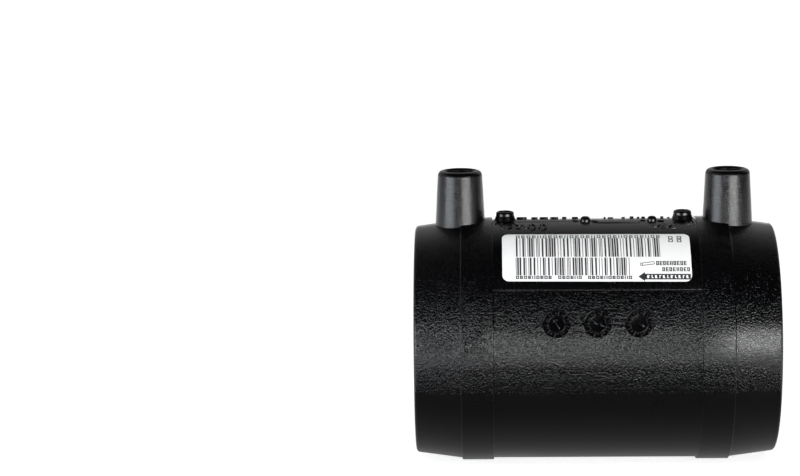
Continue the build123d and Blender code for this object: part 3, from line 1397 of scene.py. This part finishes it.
@dataclass(frozen=True)
class BarcodeLabel:
    """The printed label on the panel. Its print is plain bars and blocks."""

    radius: float = 40.67
    thickness: float = 0.15
    width: float = 61.8
    top_angle: float = 21.6
    bottom_angle: float = 51.75
    lean: float = 0.009
    corner: float = 2.2
    module: float = 0.21
    lift: float = 0.012

    @property
    def wrap(self) -> Wrap:
        """The label's top face, with v from the top of the barrel."""
        return Wrap(self.radius + self.thickness, lean=self.lean)

    def down(self, angle: float) -> float:
        """Length round the label's face for an angle from the top."""
        return radians(angle) * (self.radius + self.thickness)

    def build(self, finishes: Finishes) -> list[Piece]:
        """Build the film and its print."""
        middle = (self.top_angle + self.bottom_angle) / 2
        height = radians(self.bottom_angle - self.top_angle) * self.radius
        film = Shape()
        plate = Plate(self.width, height, self.thickness, self.corner, 0.04, 0.0)
        plate.add_to(film, Wrap(self.radius, 0.0, middle, self.lean))
        pieces = [
            film.make("label_sheet", (finishes.film,), ("barcode_label",), 50)
        ]
        ink = Shape()
        self.add_bars(ink, -26.35, 20.9, 24.9, 38.0, 5)
        self.add_bars(ink, -26.45, 10.9, 38.5, 48.65, 11)
        self.add_row(ink, -26.3, 1.78, 27, 23.7, 1.6, 1.25)
        self.add_row(ink, -26.5, 1.33, 9, 49.75, 1.25, 1.05)
        self.add_row(ink, -12.7, 1.33, 6, 49.75, 1.25, 1.05)
        self.add_row(ink, -3.0, 1.33, 11, 49.75, 1.25, 1.05)
        self.add_row(ink, 19.4, 1.13, 9, 41.8, 1.7, 0.88)
        self.add_row(ink, 21.3, 1.16, 8, 45.3, 1.6, 0.88)
        for start in (23.9, 26.7):
            for angle in (24.7, 27.1):
                self.add_row(ink, start, 1.0, 1, angle, 1.5, 1.5)
        self.add_tube_sign(ink)
        self.add_arrow(ink)
        pieces.append(
            ink.make("label_print", (finishes.ink, finishes.film), sharp=60)
        )
        return pieces

    def add_bars(
        self, ink: Shape, left: float, right: float, top: float, bottom: float, seed: int
    ) -> None:
        """Add a row of bars of two widths that stand for a bar code.

        Args:
            ink: the print.
            left: where the bars start along the bore.
            right: where they end.
            top: angle of their upper ends.
            bottom: angle of their lower ends.
            seed: start of the plain rule that picks the widths.
        """
        v = (self.down(top) + self.down(bottom)) / 2
        height = self.down(bottom) - self.down(top)
        place = left
        state = seed
        while place < right - self.module:
            state = (state * 37 + 11) % 101
            bar = self.module * (2.6 if state % 5 < 2 else 1.0)
            state = (state * 37 + 11) % 101
            gap = self.module * (3.3 if state % 7 < 3 else 1.1)
            bar = min(bar, right - place)
            Sheet(place + bar / 2, v, bar, height).add_to(ink, self.wrap, self.lift)
            place += bar + gap

    def add_row(
        self,
        ink: Shape,
        start: float,
        pitch: float,
        count: int,
        angle: float,
        height: float,
        width: float,
    ) -> None:
        """Add a row of small plain marks.

        Args:
            ink: the print.
            start: place of the first mark's middle along the bore.
            pitch: distance between marks.
            count: number of marks.
            angle: angle of the row's middle from the top.
            height: height of a mark.
            width: width of a mark.
        """
        kinds = (Glyph.FRAME, Glyph.COMB, Glyph.FRAME, Glyph.COMB, Glyph.PAIR)
        for index in range(count):
            u = start + 0.5 * width + pitch * index
            self.add_glyph(ink, kinds[index % len(kinds)], u, self.down(angle), width, height)

    def add_glyph(
        self, ink: Shape, kind: Glyph, u: float, v: float, width: float, height: float
    ) -> None:
        """Add one small mark made of strokes.

        Args:
            ink: the print.
            kind: which plain mark.
            u: its middle along the bore.
            v: its middle round the barrel.
            width: its width.
            height: its height.
        """
        line = 0.35
        side = (width - line) / 2
        end = (height - line) / 2
        strokes = [Sheet(u - side, v, line, height), Sheet(u + side, v, line, height)]
        if kind is Glyph.FRAME:
            strokes += [
                Sheet(u, v - end, width - 2 * line, line),
                Sheet(u, v + end, width - 2 * line, line),
            ]
        if kind is Glyph.COMB:
            strokes = [
                Sheet(u - side, v, line, height),
                Sheet(u + line / 2, v - end, width - line, line),
                Sheet(u + line / 2, v + end, width - line, line),
                Sheet(u + line / 2, v, width - line, line),
            ]
        for stroke in strokes:
            stroke.add_to(ink, self.wrap, self.lift)

    def add_tube_sign(self, ink: Shape) -> None:
        """Add the outline of a small leaning tube with an open end."""
        middle = Vector((16.55, self.down(42.1)))
        away = Vector((cos(radians(9)), -sin(radians(9))))
        across = Vector((-away.y, away.x))
        half, radius, line = 2.0, 0.62, 0.26
        rows: list[list[Vector]] = [[], []]
        for step in range(33):
            t = pi / 2 + 2 * pi * step / 32
            end = middle + away * (-half if cos(t) < 0 else half)
            for row, grow in ((0, 0.0), (1, -line)):
                reach = away * cos(t) * (radius + grow) * 0.7 + across * sin(t) * (radius + grow)
                spot = end + reach
                rows[row].append(self.wrap.place(spot.x, spot.y, self.lift))
        ink.grid(rows)
        rows = [[], []]
        for step in range(25):
            t = 2 * pi * step / 24
            for row, grow in ((0, 0.0), (1, -line)):
                reach = away * cos(t) * (radius + grow) * 0.7 + across * sin(t) * (radius + grow)
                spot = middle - away * half + reach
                rows[row].append(self.wrap.place(spot.x, spot.y, self.lift + 0.004))
        ink.grid(rows)

    def add_arrow(self, ink: Shape) -> None:
        """Add the black arrow that points left, with a row of pale blocks in its shaft."""
        v = self.down(49.3)
        tip, back, end = 13.45, 15.6, 30.5
        head, shaft = 1.75, 1.06
        steps = 6
        rows = []
        for step in range(steps + 1):
            share = step / steps
            half = 0.02 + head * share
            u = tip + (back - tip) * share
            rows.append([self.wrap.place(u, v + half * side, self.lift) for side in (-1, -0.3, 0.3, 1)])
        ink.grid(rows)
        Sheet((back + end) / 2, v, end - back, 2 * shaft).add_to(ink, self.wrap, self.lift)
        for index in range(11):
            u = back + 0.9 + 1.27 * index
            tall = 1.15
            block = Sheet(u + 0.1, v, 0.34 if index % 2 else 0.62, tall)
            block.add_to(ink, self.wrap, 2 * self.lift, finish=1)
            foot = Sheet(u + 0.35, v + (0.42 if index % 3 else -0.42), 0.5, 0.3)
            foot.add_to(ink, self.wrap, 2 * self.lift, finish=1)


# The studio round the coupler


@dataclass(frozen=True)
class SoftBox:
    """A large soft lamp, placed by the directions of its edges from the coupler."""

    name: str
    left: float
    right: float
    low: float
    high: float
    distance: float
    radiance: float
    colour: Colour
    glossy: bool = True

    def build(self, target: Vector) -> None:
        """Build the lamp, upright and turned towards a target."""
        middle = radians((self.left + self.right) / 2)
        half = radians((self.right - self.left) / 2)
        bottom = self.distance * tan(radians(self.low))
        top = self.distance * tan(radians(self.high))
        lamp = bpy.data.lights.new(self.name, "AREA")
        lamp.shape = "RECTANGLE"
        lamp.size = 2 * self.distance * tan(half)
        lamp.size_y = top - bottom
        lamp.energy = self.radiance * pi * lamp.size * lamp.size_y
        lamp.color = self.colour
        piece = bpy.data.objects.new(self.name, lamp)
        bpy.context.scene.collection.objects.link(piece)
        away = Vector((sin(middle), -cos(middle), 0.0))
        piece.location = target + away * self.distance + Vector((0, 0, (top + bottom) / 2))
        piece.rotation_euler = away.to_track_quat("Z", "Y").to_euler()
        piece.visible_camera = False
        piece.visible_glossy = self.glossy


@dataclass(frozen=True)
class Flag:
    """A dark cloth that the camera doesn't see, given by its four-sided strips. One that only reflections see is
    a painted reflection.
    """

    name: str
    rows: tuple[tuple[Vector3, ...], ...]
    dark: float
    pale: float
    low: float = 0.0
    high: float = 1.0
    glossy_only: bool = False

    def build(self) -> None:
        """Build the cloth, as dark or pale as its place along the room says."""
        width = len(self.rows[0])
        points = [point for row in self.rows for point in row]
        faces = []
        for r in range(len(self.rows) - 1):
            for c in range(width - 1):
                a = r * width + c
                faces.append((a, a + 1, a + 1 + width, a + width))
        mesh = bpy.data.meshes.new(self.name)
        mesh.from_pydata(points, [], faces)
        flag = bpy.data.objects.new(self.name, mesh)
        bpy.context.scene.collection.objects.link(flag)
        flag.visible_camera = False
        # A card that only reflections see casts no shadow and lights nothing, so its glow is a painted
        # reflection.
        if self.glossy_only:
            flag.visible_shadow = False
            flag.visible_diffuse = False
        paint = Paint(self.name + "_cloth")
        place = paint.nodes.new("ShaderNodeTexCoord").outputs["Object"]
        parts = paint.nodes.new("ShaderNodeSeparateXYZ")
        paint.links.new(place, parts.inputs[0])
        spread = paint.nodes.new("ShaderNodeMapRange")
        spread.interpolation_type = "SMOOTHSTEP"
        paint.links.new(parts.outputs["Y"], spread.inputs["Value"])
        spread.inputs["From Min"].default_value = self.low
        spread.inputs["From Max"].default_value = self.high
        spread.inputs["To Min"].default_value = self.dark
        spread.inputs["To Max"].default_value = self.pale
        paint.feed("Emission Strength", spread.outputs["Result"])
        paint.shader.inputs["Emission Color"].default_value = (1.0, 1.0, 1.0, 1.0)
        paint.shader.inputs["Base Color"].default_value = (0.01, 0.01, 0.01, 1.0)
        paint.set("Roughness", 1.0)
        paint.set("Specular IOR Level", 0.0)
        mesh.materials.append(paint.material)


@dataclass(frozen=True)
class Studio:
    """Camera, floor, flags and lamps, as in the photograph."""

    camera_place: Vector3 = (-34.7903, -927.4492, 191.7848)
    camera_right: Vector3 = (0.99945, 0.03062, -0.01271)
    camera_up: Vector3 = (0.00742, 0.1673, 0.98588)
    lens: float = 125.51
    floor_level: float = -41.0
    tent_radius: float = 1.6
    tent_half_width: float = 1.8

    def build(self) -> None:
        """Build everything round the coupler."""
        self.build_camera()
        self.build_floor()
        self.build_flags()
        self.build_world()
        target = Vector((0.0, 0.0, 0.0))
        for box in (
            SoftBox("left_softbox", -74, -34, -3.2, 15, 0.7, 6.9, (0.87, 0.93, 1.0)),
            SoftBox("right_softbox", 9, 48, -3.2, 15, 0.7, 10.6, (0.99, 1.0, 0.99)),
            SoftBox("fill", -40, 40, 28, 60, 0.75, 2.5, (1.0, 1.0, 1.0), glossy=False),
        ):
            box.build(target)

    def build_camera(self) -> None:
        """Build the camera at the photograph's viewing angle."""
        right = Vector(self.camera_right).normalized()
        back = right.cross(Vector(self.camera_up)).normalized()
        up = back.cross(right)
        data = bpy.data.cameras.new("camera")
        data.lens = self.lens
        data.sensor_width = 36.0
        data.clip_start = 0.01
        data.clip_end = 50.0
        camera = bpy.data.objects.new("camera", data)
        bpy.context.scene.collection.objects.link(camera)
        turn = Matrix((right, up, back)).transposed()
        camera.matrix_world = Matrix.Translation(Vector(self.camera_place) * MM) @ turn.to_4x4()
        bpy.context.scene.camera = camera

    def build_floor(self) -> None:
        """Build the pale floor, which shows the same white as the background."""
        size = 6.0
        level = self.floor_level * MM
        mesh = bpy.data.meshes.new("floor")
        mesh.from_pydata(
            [(-size, -size, level), (size, -size, level), (size, size, level), (-size, size, level)],
            [],
            [(0, 1, 2, 3)],
        )
        floor = bpy.data.objects.new("floor", mesh)
        bpy.context.scene.collection.objects.link(floor)
        paint = Paint("pale_floor")
        mottle = paint.nodes.new("ShaderNodeTexNoise")
        mottle.inputs["Scale"].default_value = 9.0
        paint.feed("Base Color", paint.mix(mottle.outputs[0], (0.86, 0.86, 0.86), (0.9, 0.9, 0.9)))
        paint.set("Roughness", 0.9)
        path = paint.nodes.new("ShaderNodeLightPath")
        seen = paint.nodes.new("ShaderNodeMath")
        seen.operation = "MAXIMUM"
        paint.links.new(path.outputs["Is Camera Ray"], seen.inputs[0])
        paint.links.new(path.outputs["Is Glossy Ray"], seen.inputs[1])
        also = paint.nodes.new("ShaderNodeMath")
        also.operation = "MAXIMUM"
        paint.links.new(seen.outputs[0], also.inputs[0])
        paint.links.new(path.outputs["Is Transmission Ray"], also.inputs[1])
        glow = paint.nodes.new("ShaderNodeMath")
        glow.operation = "MULTIPLY"
        paint.links.new(also.outputs[0], glow.inputs[0])
        glow.inputs[1].default_value = 0.76
        paint.feed("Emission Strength", glow.outputs[0])
        paint.shader.inputs["Emission Color"].default_value = (1.0, 1.0, 1.0, 1.0)
        mesh.materials.append(paint.material)

    def build_flags(self) -> None:
        """Build the dark cloths: a tent over the front, a right side and a low card. The low card shows only in
        reflections, casts no shadow and lights nothing; its glow, darker in front and paler beneath the coupler,
        is a painted reflection of the floor's shade.
        """
        half, reach = self.tent_half_width, self.tent_radius
        steps = 40
        arch = []
        for step in range(steps + 1):
            e = radians(-1.4 + 177.4 * step / steps)
            y, z = -reach * cos(e), reach * sin(e)
            arch.append(((-half, y, z), (half, y, z)))
        floor = self.floor_level * MM
        side = (
            ((half, -reach, floor), (half, 4.0, floor)),
            ((half, -reach, reach), (half, 4.0, reach)),
        )
        left_side = tuple(tuple((-x, y, z) for x, y, z in row) for row in side)
        card = (
            ((-0.11, -0.19, floor + 0.0006), (0.11, -0.19, floor + 0.0006)),
            ((-0.11, 0.0, floor + 0.0006), (0.11, 0.0, floor + 0.0006)),
            ((-0.11, 0.06, floor + 0.0006), (0.11, 0.06, floor + 0.0006)),
        )
        Flag("tent", tuple(arch), 0.008, 0.38, 0.5, 1.4).build()
        Flag("right_flag", side, 0.01, 0.01).build()
        Flag("left_flag", left_side, 0.3, 0.4).build()
        # Painted reflection: this card's glow stands in for the floor's shade as the coupler's underside reflects
        # it, darker in front and paler beneath.
        Flag("floor_shade_reflection_card", card, 0.09, 0.46, -0.06, 0.01, glossy_only=True).build()

    def build_world(self) -> None:
        """Build the plain white background."""
        world = bpy.data.worlds.new("white_background")
        world.use_nodes = True
        background = world.node_tree.nodes["Background"]
        background.inputs["Color"].default_value = (1.0, 1.0, 1.0, 1.0)
        background.inputs["Strength"].default_value = 1.0
        bpy.context.scene.world = world


def main() -> None:
    """Load the frame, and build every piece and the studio."""
    logging.basicConfig(level=logging.INFO, format="%(message)s")
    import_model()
    finishes = Finishes()
    barrel = Barrel().build(finishes)[0]
    LabelPanel().build(finishes)
    dials = DateDials()
    dials.build(finishes)
    cut_away(barrel, dials.pockets())
    for side in Side:
        TerminalShroud().build(side, finishes)
        TerminalPin().build(side, finishes)
        IndicatorBoss().build(side, finishes)
    HeatingWire().build(finishes)
    BarcodeLabel().build(finishes)
    Studio().build()
    bpy.context.scene.view_settings.view_transform = "Standard"


if __name__ == "__main__":
    main()
